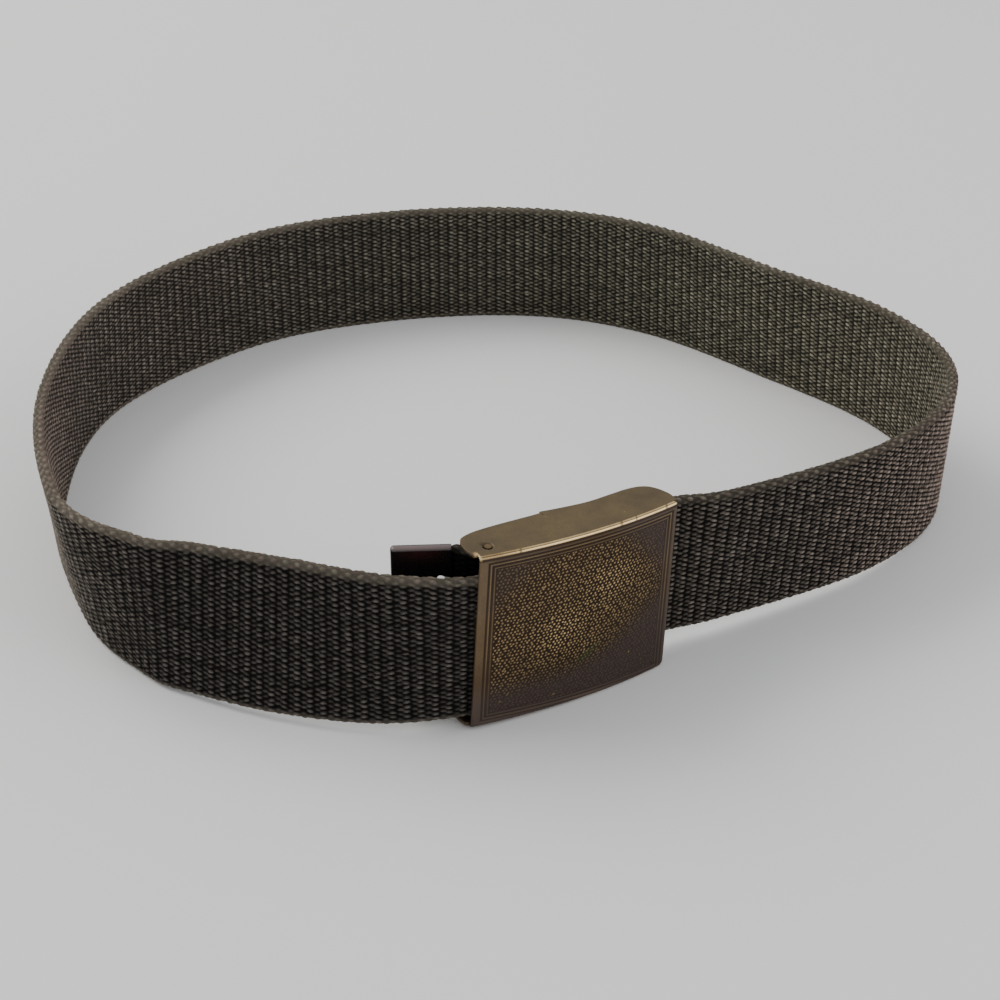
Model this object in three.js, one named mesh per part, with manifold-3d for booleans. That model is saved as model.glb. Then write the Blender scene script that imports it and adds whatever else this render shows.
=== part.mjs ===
// Canvas web belt, fastened, standing on the lower edge of its webbing.
// Millimetres, +Z up, +X to the right along the buckle, +Y from the buckle to the back of the loop.
// The webbing is one ribbon: its fixed end is clamped behind the buckle's face, it goes round
// the waist, runs through the buckle box and ends in a metal tip behind the left strand.

import * as THREE from "three";
import { mergeVertices } from "three/addons/utils/BufferGeometryUtils.js";
import Module from "manifold-3d";

const wasm = await Module();
wasm.setup();

// Webbing
const WEB_WIDTH = 38;
const WEB_THICKNESS = 2.6;
const WEB_PRESSED = 1.0;
const SAMPLES_PER_SPAN = 10;

// Buckle box, in its own frame: X along, Y into the box from the face, Z up.
// The face's left end lies at FACE_SET, its middle stands FACE_BULGE further out, its right end
// is RIGHT_SWEEP further back, and the lower edge is LOWER_SPREAD longer than the upper one.
const BOX_LENGTH = 51.3;
const BOX_HEIGHT = 47.6;
const BOX_LEAN = THREE.MathUtils.degToRad(4.2);
const BOX_ROLL = THREE.MathUtils.degToRad(1.0);
const SHEET = 0.8;
const LOWER_SPREAD = 0.9;
const FACE_SET = -0.25;
const FACE_BULGE = 1.7;
const RIGHT_SWEEP = 0.85;
const EDGE_ROUND = 0.4;
const CORNER_TOP = 0.9;
const CORNER_BOTTOM = 2.4;
const FACE_STEPS = 32;
const FLANGE_STEPS = 60;

// Pressed border of the face: a plain strip round a sunk field, with two ribs along the strip.
// Insets are measured at the left; at the other sides the border lies closer to the edge.
const STRIP_WIDTH = 2.45;
const FIELD_DEPTH = 0.25;
const RIB_HEIGHT = 0.2;
const RIBS = [
  { inset: 3.05, width: 0.5 },
  { inset: 4.3, width: 0.4 },
];
const CLOSER_RIGHT = 0.9;
const CLOSER_LEVEL = 1.6;

// Inner frame: two cheeks and a back plate, with room for the webbing between
const FIT_GAP = 0.25;
const CHEEK_SHEET = 0.6;
const CHEEK_START = 1.2;
const CHEEK_END = 46.5;
const CHEEK_FRONT = 1;
const CHEEK_LEFT_BACK = { along: 4.5, depth: 6.5 };
const CHEEK_RIGHT_BACK = 5.5;
const BACK_PLATE_START = 20.5;
const BACK_PLATE_END = 45.5;
const BACK_PLATE_INNER = 8.5;
const BACK_PLATE_OUTER = 9.1;

// How far a cutting body reaches past what it cuts, and how far a joined one reaches into its base
const CUT_PAST = 5;
const JOIN_DEPTH = 0.1;

// Clamp plate that pinches the fixed end against the face
const CLAMP_START = 6;
const CLAMP_END = 15;
const CLAMP_FRONT = 4.3;
const CLAMP_BACK = 5.3;

// Hinge pins of the cover, one through each flange
const PIN_ALONG = 3.6;
const PIN_DEPTH = 3.3;
const PIN_RADIUS = 0.85;
const PIN_HOLE_RADIUS = 1.2;
const PIN_SEAT_RADIUS = 1.0;
const PIN_LENGTH = SHEET + FIT_GAP + CHEEK_SHEET;
const PIN_SIDES = 16;

// Metal tip of the free end
const TIP_LENGTH = 13.6;
const TIP_WALL = 0.3;
const TIP_GAP = 0.3;
const TIP_EDGE_ROUND = 0.9;
const TIP_THICKNESS = WEB_PRESSED + 2 * (TIP_GAP + TIP_WALL);
const TIP_HEIGHT = WEB_WIDTH + 2 * (TIP_GAP + TIP_WALL);

// Route of the webbing seen from above, from the fixed end round to the free end.
// x and y place the middle of the lower edge, measured from the buckle's lower left corner,
// lean is how far the upper edge stands outside the lower one, lift is the lower edge's height.
const ROUTE = [
  { x: 15, y: 2.5, lean: 2.8, lift: 3, thick: WEB_THICKNESS },
  { x: 2, y: 2.6, lean: 2.8, lift: 3, thick: WEB_THICKNESS },
  { x: -17, y: 9.3, lean: -1.6, lift: 2.8, thick: WEB_THICKNESS },
  { x: -35, y: 24, lean: -6, lift: 2.2, thick: WEB_THICKNESS },
  { x: -50, y: 43, lean: -4.6, lift: 1.2, thick: WEB_THICKNESS },
  { x: -57, y: 57, lean: 0, lift: 0.4, thick: WEB_THICKNESS },
  { x: -61.5, y: 86, lean: 5, lift: 0, thick: WEB_THICKNESS },
  { x: -52, y: 141, lean: 0, lift: 0, thick: WEB_THICKNESS },
  { x: -21, y: 190, lean: -3, lift: 0, thick: WEB_THICKNESS },
  { x: 33, y: 213, lean: -1, lift: 0, thick: WEB_THICKNESS },
  { x: 80, y: 210, lean: -1, lift: 0, thick: WEB_THICKNESS },
  { x: 124, y: 191, lean: -2, lift: 0, thick: WEB_THICKNESS },
  { x: 151, y: 160, lean: -2, lift: 0, thick: WEB_THICKNESS },
  { x: 166, y: 115, lean: -3.5, lift: 0, thick: WEB_THICKNESS },
  { x: 175, y: 76, lean: -2, lift: 0, thick: WEB_THICKNESS },
  { x: 170, y: 44, lean: 0, lift: 0, thick: WEB_THICKNESS },
  { x: 151, y: 21.5, lean: 1.5, lift: 0.4, thick: WEB_THICKNESS },
  { x: 119, y: 9.6, lean: 3, lift: 1.6, thick: WEB_THICKNESS },
  { x: 75, y: 8, lean: 4, lift: 3, thick: WEB_THICKNESS },
  { x: 57, y: 9, lean: 2.2, lift: 3.8, thick: WEB_THICKNESS },
  { x: 46, y: 6.7, lean: 2.8, lift: 4, thick: WEB_THICKNESS },
  { x: 33, y: 6.6, lean: 2.8, lift: 4, thick: WEB_THICKNESS },
  { x: 20, y: 6.6, lean: 2.8, lift: 4, thick: WEB_THICKNESS },
  { x: 11, y: 7.3, lean: 2, lift: 4.2, thick: WEB_THICKNESS },
  { x: 5, y: 9.2, lean: 0.5, lift: 4.7, thick: WEB_THICKNESS },
  { x: 3.4, y: 10.2, lean: 0.1, lift: 4.9, thick: WEB_THICKNESS },
  { x: 1.8, y: 11.1, lean: 0, lift: 5, thick: WEB_PRESSED },
  { x: -4.2, y: 14, lean: 0, lift: 5, thick: WEB_PRESSED },
  { x: -10, y: 16.8, lean: 0, lift: 5, thick: WEB_PRESSED },
];

// Outline of the cover's upper and lower flange behind the face, from the right end to the left:
// a swell near the right end, a small step in the back edge and a round left end
const FLANGE_EDGE = [
  { along: 51.0, depth: 1.6 },
  { along: 50.3, depth: 4.2 },
  { along: 48.6, depth: 7.6 },
  { along: 46.8, depth: 9.3 },
  { along: 43.5, depth: 10.0 },
  { along: 39.0, depth: 9.8 },
  { along: 32.0, depth: 9.3 },
  { along: 24.0, depth: 9.9 },
  { along: 20.6, depth: 10.3 },
  { along: 19.8, depth: 9.8 },
  { along: 11.0, depth: 9.8 },
  { along: 6.0, depth: 9.7 },
  { along: 2.3, depth: 9.2 },
  { along: -0.3, depth: 7.7 },
  { along: -0.9, depth: 4.6 },
  { along: -0.6, depth: 1.6 },
];

const olive = (name) => standard(name, 0x2b2922, 0.95, 0.0);
const brass = (name) => standard(name, 0x6b5836, 0.5, 0.9);
const steel = (name) => standard(name, 0x55504a, 0.5, 0.9);
const lacquer = (name) => standard(name, 0x0b0908, 0.2, 0.3);

function standard(name, color, roughness, metalness) {
  return new THREE.MeshStandardMaterial({ name, color, roughness, metalness });
}

function named(name, geometry, material) {
  const mesh = new THREE.Mesh(geometry, material);
  mesh.name = name;
  return mesh;
}

// A closed geometry as a solid that can be joined and cut
function solidOf(geometry) {
  const bare = geometry.clone();
  bare.deleteAttribute("normal");
  bare.deleteAttribute("uv");
  const merged = mergeVertices(bare);
  const vertProperties = new Float32Array(merged.attributes.position.array);
  const triVerts = new Uint32Array(merged.index.array);
  return new wasm.Manifold(new wasm.Mesh({ numProp: 3, vertProperties, triVerts }));
}

function geometryOf(solid) {
  const mesh = solid.getMesh();
  const geometry = new THREE.BufferGeometry();
  geometry.setAttribute("position", new THREE.BufferAttribute(mesh.vertProperties, 3));
  geometry.setIndex(new THREE.BufferAttribute(mesh.triVerts, 1));
  return geometry;
}

// An outline in the X-Y plane raised between two heights
function prism(outline, low, high) {
  const shape = Array.isArray(outline) ? new THREE.Shape(outline) : outline;
  const geometry = new THREE.ExtrudeGeometry(shape, { depth: high - low, bevelEnabled: false });
  return geometry.translate(0, 0, low);
}

function disc(x, y, radius, low, high) {
  const geometry = new THREE.CylinderGeometry(radius, radius, high - low, PIN_SIDES);
  return geometry.rotateX(Math.PI / 2).translate(x, y, (low + high) / 2);
}

function point(x, y) {
  return new THREE.Vector2(x, y);
}

// One ribbon along the route, with a slab section that leans but keeps its edges level
function webbingGeometry() {
  const path = smooth(ROUTE.map((row) => new THREE.Vector3(row.x, row.y, row.lift)));
  const form = smooth(ROUTE.map((row) => new THREE.Vector3(row.lean, row.thick, 0)));
  const steps = (ROUTE.length - 1) * SAMPLES_PER_SPAN;
  const positions = [];
  const triangles = [];
  for (let step = 0; step <= steps; step += 1) {
    const here = path.getPoint(step / steps);
    const before = path.getPoint(Math.max(0, step - 0.5) / steps);
    const after = path.getPoint(Math.min(steps, step + 0.5) / steps);
    const run = after.sub(before).setZ(0).normalize();
    const outward = new THREE.Vector2(-run.y, run.x);
    const { x: lean, y: thick } = form.getPoint(step / steps);
    const low = Math.max(0, here.z);
    const high = low + Math.sqrt(WEB_WIDTH ** 2 - lean ** 2);
    for (const [offset, height] of [
      [thick / 2, low],
      [thick / 2 + lean, high],
      [-thick / 2 + lean, high],
      [-thick / 2, low],
    ]) {
      positions.push(here.x + outward.x * offset, here.y + outward.y * offset, height);
    }
  }
  for (let step = 0; step < steps; step += 1) {
    for (let side = 0; side < 4; side += 1) {
      const near = 4 * step + side;
      const next = 4 * step + ((side + 1) % 4);
      triangles.push(near, next, next + 4, near, next + 4, near + 4);
    }
  }
  const last = 4 * steps;
  triangles.push(0, 2, 1, 0, 3, 2, last, last + 1, last + 2, last, last + 2, last + 3);
  const geometry = new THREE.BufferGeometry();
  geometry.setAttribute("position", new THREE.Float32BufferAttribute(positions, 3));
  geometry.setIndex(triangles);
  return geometry;
}

function smooth(points) {
  return new THREE.CatmullRomCurve3(points, false, "catmullrom", 0.5);
}

// Depth of the face at a place along it: a shallow arch that sweeps back towards the right end,
// with both its ends turned in
function faceDepth(along, inset) {
  const end = Math.max(0, Math.min(along - inset, BOX_LENGTH - inset - along));
  const turn = 1 - Math.min(1, end / EDGE_ROUND);
  const turnedIn = EDGE_ROUND * (1 - Math.sqrt(1 - turn ** 2));
  const middle = (2 * along) / BOX_LENGTH - 1;
  const arch = FACE_BULGE * (1 - middle ** 2);
  return inset + FACE_SET - arch + RIGHT_SWEEP * (along / BOX_LENGTH) ** 4 + turnedIn;
}

// Points of the face's arch from one place along it to another
function facePoints(from, to, inset) {
  const points = [];
  for (let index = 0; index <= FACE_STEPS; index += 1) {
    const part = (1 - Math.cos((Math.PI * index) / FACE_STEPS)) / 2;
    const along = from + (to - from) * part;
    points.push(point(along, faceDepth(along, inset)));
  }
  return points;
}

// A curved slab inside one of the border's lines, between two depths below the face
function slabInside(inset, shallow, deep) {
  const right = BOX_LENGTH - inset + CLOSER_RIGHT;
  const low = inset - CLOSER_LEVEL;
  const front = facePoints(inset, right, 0).map((p) => point(p.x, p.y + shallow));
  const back = facePoints(inset, right, 0).map((p) => point(p.x, p.y + deep));
  return solidOf(prism([...front, ...back.reverse()], low, BOX_HEIGHT - low));
}

function flangeOutline() {
  const edge = new THREE.SplineCurve(FLANGE_EDGE.map((row) => point(row.along, row.depth)));
  return [...facePoints(0, BOX_LENGTH, 0), ...edge.getPoints(FLANGE_STEPS)];
}

// Everything inside the face's outline, with its two right corners rounded
function cornerBlock() {
  const outline = new THREE.Shape();
  outline.moveTo(-CUT_PAST, 0);
  outline.lineTo(BOX_LENGTH - CORNER_BOTTOM, 0);
  outline.quadraticCurveTo(BOX_LENGTH, 0, BOX_LENGTH, CORNER_BOTTOM);
  outline.lineTo(BOX_LENGTH, BOX_HEIGHT - CORNER_TOP);
  outline.quadraticCurveTo(BOX_LENGTH, BOX_HEIGHT, BOX_LENGTH - CORNER_TOP, BOX_HEIGHT);
  outline.lineTo(-CUT_PAST, BOX_HEIGHT);
  const deepest = Math.max(...FLANGE_EDGE.map((row) => row.depth));
  return solidOf(prism(outline, -deepest - CUT_PAST, CUT_PAST).rotateX(Math.PI / 2));
}

// One raised line of the border, seated in the sunk field
function rib({ inset, width }) {
  const raised = slabInside(inset, FIELD_DEPTH - RIB_HEIGHT, FIELD_DEPTH + JOIN_DEPTH);
  return raised.subtract(slabInside(inset + width, -CUT_PAST, FIELD_DEPTH + CUT_PAST));
}

// The hinged cover: face, upper flange and lower flange in one bent sheet
function coverGeometry() {
  const outer = facePoints(0, BOX_LENGTH, 0);
  const inner = facePoints(SHEET, BOX_LENGTH - SHEET, SHEET);
  const face = solidOf(prism([...outer, ...inner.reverse()], 0, BOX_HEIGHT));
  const lower = solidOf(prism(flangeOutline(), 0, SHEET));
  const upper = solidOf(prism(flangeOutline(), BOX_HEIGHT - SHEET, BOX_HEIGHT));
  const sheet = face
    .add(lower)
    .add(upper)
    .subtract(slabInside(STRIP_WIDTH, -CUT_PAST, FIELD_DEPTH))
    .subtract(pinHole(PIN_HOLE_RADIUS))
    .intersect(cornerBlock());
  return spreadBelow(geometryOf(RIBS.reduce((solid, row) => solid.add(rib(row)), sheet)));
}

// Lengthens the cover evenly towards its lower edge, so that its right end slants
function spreadBelow(geometry) {
  const place = geometry.attributes.position;
  for (let index = 0; index < place.count; index += 1) {
    const along = place.getX(index);
    const fall = 1 - place.getZ(index) / BOX_HEIGHT;
    place.setX(index, along * (1 + (LOWER_SPREAD * fall) / BOX_LENGTH));
  }
  return geometry;
}

// A bore through both flanges and cheeks on the axis of the hinge pins
function pinHole(radius) {
  return solidOf(disc(PIN_ALONG, PIN_DEPTH, radius, -CUT_PAST, BOX_HEIGHT + CUT_PAST));
}

// The inner frame: a cheek under each flange, joined by the back plate
function frameGeometry() {
  const cheek = [
    point(CHEEK_START, CHEEK_FRONT),
    point(CHEEK_END, CHEEK_FRONT),
    point(CHEEK_END, CHEEK_RIGHT_BACK),
    point(BACK_PLATE_END, BACK_PLATE_OUTER),
    point(CHEEK_LEFT_BACK.along, BACK_PLATE_OUTER),
    point(CHEEK_START, CHEEK_LEFT_BACK.depth),
  ];
  const low = SHEET + FIT_GAP;
  const high = BOX_HEIGHT - low;
  const plate = [
    point(BACK_PLATE_START, BACK_PLATE_INNER),
    point(BACK_PLATE_END, BACK_PLATE_INNER),
    point(BACK_PLATE_END, BACK_PLATE_OUTER),
    point(BACK_PLATE_START, BACK_PLATE_OUTER),
  ];
  return geometryOf(
    solidOf(prism(cheek, low, low + CHEEK_SHEET))
      .add(solidOf(prism(cheek, high - CHEEK_SHEET, high)))
      .add(solidOf(prism(plate, low, high)))
      .subtract(pinHole(PIN_SEAT_RADIUS))
  );
}

// The clamp plate behind the fixed end, held between the two cheeks
function clampGeometry() {
  const low = SHEET + 2 * FIT_GAP + CHEEK_SHEET;
  const plate = [
    point(CLAMP_START, CLAMP_FRONT),
    point(CLAMP_END, CLAMP_FRONT),
    point(CLAMP_END, CLAMP_BACK),
    point(CLAMP_START, CLAMP_BACK),
  ];
  return prism(plate, low, BOX_HEIGHT - low);
}

// A hinge pin: its end shows flush in the flange, and it is riveted in the cheek
function pinGeometry(low) {
  return disc(PIN_ALONG, PIN_DEPTH, PIN_RADIUS, low, low + PIN_LENGTH);
}

// The tip: a folded metal sleeve, open towards the webbing, with rolled long edges
function tipGeometry() {
  const half = TIP_THICKNESS / 2;
  const round = TIP_EDGE_ROUND;
  const section = new THREE.Shape();
  section.moveTo(-half + round, 0);
  section.lineTo(half - round, 0);
  section.quadraticCurveTo(half, 0, half, round);
  section.lineTo(half, TIP_HEIGHT - round);
  section.quadraticCurveTo(half, TIP_HEIGHT, half - round, TIP_HEIGHT);
  section.lineTo(-half + round, TIP_HEIGHT);
  section.quadraticCurveTo(-half, TIP_HEIGHT, -half, TIP_HEIGHT - round);
  section.lineTo(-half, round);
  section.quadraticCurveTo(-half, 0, -half + round, 0);
  const outside = solidOf(prism(section, 0, TIP_LENGTH).rotateX(Math.PI / 2));
  const hollow = new THREE.BoxGeometry(
    WEB_PRESSED + 2 * TIP_GAP,
    TIP_LENGTH,
    WEB_WIDTH + 2 * TIP_GAP
  ).translate(0, -TIP_LENGTH / 2 + TIP_WALL, TIP_HEIGHT / 2);
  return geometryOf(outside.subtract(solidOf(hollow)));
}

// Places the tip over the last stretch of the route, with its closed end past the free end
function placeTip(tip) {
  const end = ROUTE[ROUTE.length - 1];
  const before = ROUTE[ROUTE.length - 2];
  const run = point(end.x - before.x, end.y - before.y).normalize();
  const reach = TIP_WALL + 2 * TIP_GAP - TIP_LENGTH;
  tip.rotation.z = Math.atan2(run.y, run.x) + Math.PI / 2;
  tip.position.set(end.x + run.x * reach, end.y + run.y * reach, end.lift - TIP_GAP - TIP_WALL);
}

const buckle = new THREE.Group();
buckle.rotation.set(BOX_LEAN, BOX_ROLL, 0);
buckle.add(named("cover", coverGeometry(), brass("cover_brass")));
buckle.add(named("inner_frame", frameGeometry(), brass("frame_brass")));
buckle.add(named("end_clamp", clampGeometry(), steel("clamp_steel")));
buckle.add(named("hinge_pin_top", pinGeometry(BOX_HEIGHT - PIN_LENGTH), brass("pin_brass")));
buckle.add(named("hinge_pin_bottom", pinGeometry(0), brass("pin_brass")));
buckle.position.z = -new THREE.Box3().setFromObject(buckle, true).min.z;

const tip = named("strap_tip", tipGeometry(), lacquer("tip_lacquer"));
placeTip(tip);

const belt = new THREE.Group();
belt.add(named("webbing", webbingGeometry(), olive("canvas_webbing")), buckle, tip);

// The origin is the middle of the whole belt's box, at the height that it stands on
const bounds = new THREE.Box3().setFromObject(belt, true);
belt.position.set(-(bounds.min.x + bounds.max.x) / 2, -(bounds.min.y + bounds.max.y) / 2, 0);

export default belt;
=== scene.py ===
"""Canvas web belt, fastened and standing on its lower edge: woven webbing, brass box buckle, lacquered tip.

Shapes are worked out in millimetres in the plan that the solids use (origin at the buckle's lower left
front corner, X along the buckle, Y towards the back of the loop, Z up) and put into metres at the end.
"""

import math

import bpy
import numpy as np
from bpy.props import FloatProperty, FloatVectorProperty, PointerProperty
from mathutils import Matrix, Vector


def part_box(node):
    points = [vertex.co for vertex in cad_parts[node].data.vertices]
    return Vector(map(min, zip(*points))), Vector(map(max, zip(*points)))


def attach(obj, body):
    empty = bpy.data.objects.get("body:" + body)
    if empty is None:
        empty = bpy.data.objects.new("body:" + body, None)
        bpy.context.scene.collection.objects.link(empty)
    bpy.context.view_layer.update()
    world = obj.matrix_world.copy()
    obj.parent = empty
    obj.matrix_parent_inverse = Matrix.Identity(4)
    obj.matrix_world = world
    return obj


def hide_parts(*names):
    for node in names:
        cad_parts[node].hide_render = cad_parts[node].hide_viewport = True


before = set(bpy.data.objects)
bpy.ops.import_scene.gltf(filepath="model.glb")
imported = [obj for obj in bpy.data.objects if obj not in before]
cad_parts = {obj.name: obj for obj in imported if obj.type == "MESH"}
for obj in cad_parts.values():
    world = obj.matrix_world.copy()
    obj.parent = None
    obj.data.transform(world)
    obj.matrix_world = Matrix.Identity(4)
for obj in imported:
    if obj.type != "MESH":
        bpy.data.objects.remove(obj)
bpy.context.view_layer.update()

bl_info = {
    "name": "Canvas Web Belt",
    "version": (1, 0, 0),
    "blender": (4, 5, 0),
    "location": "View3D > Sidebar > Belt",
    "description": "Builds a fastened web belt with a brass box buckle from a few sizes and colours",
    "category": "Mesh",
}

MM = 0.001

# Webbing, as in the solids; the route below gives its length
WEB_WIDTH = 38.0
WEB_THICKNESS = 2.6
WEB_PRESSED = 1.0
WEB_LENGTH = 753.0

# How finely the weave is drawn, and the seeds of the floats and the pebbles
STATIONS_PER_COLUMN = 3
POINTS_PER_ROW = 4
WEAVE_SEED = 7
PEBBLE_SEED = 3

# Small raised near-white speck on the upper selvedge: its place from the fixed end, half length, half width
# and height
SPECK_PLACE = 20.2
SPECK_LENGTH = 0.8
SPECK_WIDTH = 0.7
SPECK_HEIGHT = 0.45

# Buckle box, as in the solids but for rounder corners and a lower edge that spreads a little more
BOX_LENGTH = 51.3
BOX_HEIGHT = 47.6
BOX_LEAN = math.radians(4.2)
BOX_ROLL = math.radians(1.0)
SHEET = 0.8
LOWER_SPREAD = 1.3
FACE_SET = -0.25
FACE_BULGE = 1.7
RIGHT_SWEEP = 0.85
EDGE_ROUND = 0.6
CORNER_TOP = 0.9
CORNER_BOTTOM = 3.0
PIN_CENTRE = (3.6, 3.3, 0.825)
PIN_HOLE_WALL = (1.04, 1.26)
PIN_HOLE_DEPTH = 0.6

# Stretches of the cover's mesh (start, end, pitch): along the box, and back over a flange as shares
ALONG_STRETCHES = ((0, 4.6, 0.14), (4.6, 46.8, 0.225), (46.8, BOX_LENGTH, 0.17))
BACK_STRETCHES = ((0, 0.15, 0.04), (0.15, 0.48, 0.017), (0.48, 0.96, 0.1), (0.96, 1.0, 0.02))

# Pressed border of the face: it is measured from the left, and lies closer to the other edges.
# A rib is its inset, half width and share of RIB_RISE.
FIELD_DEPTH = 0.25
RIB_RISE = 0.2
CLOSER_RIGHT = 0.8
CLOSER_ABOVE = 0.2
CLOSER_BELOW = 0.5
BELOW_TAPER = 0.035
STRIP_EDGE = 2.0
RIBS = ((2.65, 0.3, 1.0), (3.6, 0.25, 0.85))
FIELD_EDGE = 4.1

# Small bright marks on the face (along, up, radius), and on the upper flange (along, depth, radius)
FACE_MARKS = ((6.6, 6.0, 0.3), (8.4, 7.8, 0.25), (20.0, 4.1, 0.35), (22.7, 9.8, 0.25), (40.1, 9.2, 0.25))
FLANGE_MARKS = ((17.6, 1.2, 0.25), (21.4, 3.3, 0.22), (37.9, 2.3, 0.25), (31.0, 5.5, 0.2))
# Dark nicks in the upper fold's worn metal and painted highlight (along, half length)
FOLD_NICKS = ((9.5, 0.25), (35.1, 0.35), (39.2, 0.2), (48.0, 0.3))
# Green smear on the face: its middle, and the directions and half lengths of its two axes
SMEAR_PLACE = (28.9, 0.0, 13.5)
SMEAR_AXES = (((0.8, 0.0, 0.6), 4.5), ((-0.6, 0.0, 0.8), 1.3))

# Tip, as in the solids but for smoother rounds
TIP_LENGTH = 13.6
TIP_WALL = 0.3
TIP_GAP = 0.3
TIP_EDGE_ROUND = 0.9

# The webbing's route: middle of the lower edge (x, y), how far the upper edge stands outside the
# lower one, and the lower edge's height, from the fixed end round to the free end
ROUTE = (
    # x, y, lean, lift
    (15, 2.5, 2.8, 3),
    (2, 2.6, 2.8, 3),
    (-17, 9.3, -1.6, 2.8),
    (-35, 24, -6, 2.2),
    (-50, 43, -4.6, 1.2),
    (-57, 57, 0, 0.4),
    (-61.5, 86, 5, 0),
    (-52, 141, 0, 0),
    (-21, 190, -3, 0),
    (33, 213, -1, 0),
    (80, 210, -1, 0),
    (124, 191, -2, 0),
    (151, 160, -2, 0),
    (166, 115, -3.5, 0),
    (175, 76, -2, 0),
    (170, 44, 0, 0),
    (151, 21.5, 1.5, 0.4),
    (119, 9.6, 3, 1.6),
    (75, 8, 4, 3),
    (57, 9, 2.2, 3.8),
    (46, 6.7, 2.8, 4),
    (33, 6.6, 2.8, 4),
    (20, 6.6, 2.8, 4),
    (11, 7.3, 2, 4.2),
    (5, 9.2, 0.5, 4.7),
    (3.4, 10.2, 0.1, 4.9),
    (1.8, 11.1, 0, 5),
    (-4.2, 14, 0, 5),
    (-10, 16.8, 0, 5),
)
# How many of the last rows are pressed together in the tip
PRESSED_ROWS = 3

# Free outline of the flanges behind the face (along, depth): left end, back edge, right end
FLANGE_LEFT = ((-0.7, 1.6), (-1.4, 4.8), (-0.7, 8.0), (2.2, 9.3), (6.0, 9.7), (11.0, 9.8))
FLANGE_BACK = ((19.8, 9.8), (20.6, 10.3), (24.0, 9.9), (32.0, 9.3), (39.0, 9.8))
FLANGE_RIGHT = ((43.5, 10.1), (47.1, 9.6), (49.4, 8.0), (51.2, 4.7), (51.5, 1.8))

# The webbing is drawn as five meshes of equal length, from the fixed end to the free end
WEBBING_RUNS = (
    "webbing_left_front",
    "webbing_left_side",
    "webbing_back",
    "webbing_right_side",
    "webbing_right_front",
)

# Floor in mm; lights and camera in metres
FLOOR_HALF = 6000.0
SKY_COLOUR = (0.93, 0.95, 1.0)
LIGHTS = (
    # name, place, target, size, share of the light power, colour
    ("Window light", (-0.7, 1.0, 1.3), (0, 0, 0), (1.6, 1.2), 1.0, (1, 0.98, 0.95)),
    ("Front fill", (0.9, -1.1, 0.9), (0, 0, 0.02), (1.2, 1.0), 0.35, (0.96, 0.98, 1)),
)
CAMERA_PLACE = (-0.2136, -0.4076, 0.2609)
CAMERA_TURN = (math.radians(59.7), 0, math.radians(-28.89))


def tint(red, green, blue):
    """A screen colour of 0 to 255 as the linear colour that the shaders use."""
    parts = np.array((red, green, blue)) / 255
    linear = np.where(parts > 0.04045, ((parts + 0.055) / 1.055) ** 2.4, parts / 12.92)
    return tuple(float(part) for part in linear)


# Places and turns


def turn_between(angle, first, second):
    """The matrix that turns by an angle from one axis towards another (0 is X, 1 is Y, 2 is Z)."""
    matrix = np.eye(3)
    matrix[[first, second], [first, second]] = math.cos(angle)
    matrix[first, second] = -math.sin(angle)
    matrix[second, first] = math.sin(angle)
    return matrix


def box_turn():
    """The buckle's turn: first rolled about Y, then leant about X."""
    return turn_between(BOX_LEAN, 1, 2) @ turn_between(BOX_ROLL, 2, 0)


def box_place():
    """The buckle corner's place in millimetres, from where the solids have the lower hinge pin."""
    low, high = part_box("hinge_pin_bottom")
    centre = (np.array(low) + np.array(high)) / 2 / MM
    return centre - box_turn() @ np.array(PIN_CENTRE)


def from_box(points):
    """Points in the buckle's own frame moved to the object's frame."""
    return points @ box_turn().T + box_place()


def from_plan(points):
    """Points in the belt's plan moved to the object's frame; heights stay."""
    return points + box_place() * np.array((1, 1, 0))


# Meshes


def grid_faces(index):
    """Quads between the neighbours in a grid of point numbers."""
    corners = (index[:-1, :-1], index[:-1, 1:], index[1:, 1:], index[1:, :-1])
    return np.stack([part.ravel() for part in corners], 1)


def tube_faces(rings, count):
    """Quads of a tube of closed rings, and the triangles that join its end rings to their middles. The
    two middles are the points that follow those of the rings."""
    index = np.arange(rings * count).reshape(rings, count)
    following = np.roll(index, -1, 1)
    quads = grid_faces(np.hstack((index, index[:, :1])))
    start = np.stack((np.full(count, index.size), following[0], index[0]), 1)
    end = np.stack((np.full(count, index.size + 1), index[-1], following[-1]), 1)
    return quads, np.vstack((start, end))


def piece(name, points, quads, triangles, material, place_by, data=None, flat=0):
    """Puts points (mm) and faces into a mesh piece. The last `flat` triangles are shaded flat.
    data holds point attributes: a number or a triple for each point."""
    mesh = bpy.data.meshes.new(name)
    placed = place_by(points) * MM
    loops = np.concatenate((quads.ravel(), triangles.ravel())).astype(np.int32)
    starts = np.concatenate(
        (np.arange(len(quads)) * 4, len(quads) * 4 + np.arange(len(triangles)) * 3)
    )
    mesh.vertices.add(len(placed))
    mesh.vertices.foreach_set("co", placed.astype(np.float32).ravel())
    mesh.loops.add(len(loops))
    mesh.loops.foreach_set("vertex_index", loops)
    mesh.polygons.add(len(starts))
    mesh.polygons.foreach_set("loop_start", starts.astype(np.int32))
    mesh.update(calc_edges=True)
    smooth = np.ones(len(starts), bool)
    smooth[len(starts) - flat :] = False
    mesh.polygons.foreach_set("use_smooth", smooth)
    for key, values in (data or {}).items():
        kind = "FLOAT_VECTOR" if values.ndim == 2 else "FLOAT"
        layer = mesh.attributes.new(key, kind, "POINT")
        field = "vector" if values.ndim == 2 else "value"
        layer.data.foreach_set(field, values.astype(np.float32).ravel())
    mesh.materials.append(material)
    mesh.validate()
    made = bpy.data.objects.new(name, mesh)
    bpy.context.scene.collection.objects.link(made)
    return made


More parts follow.
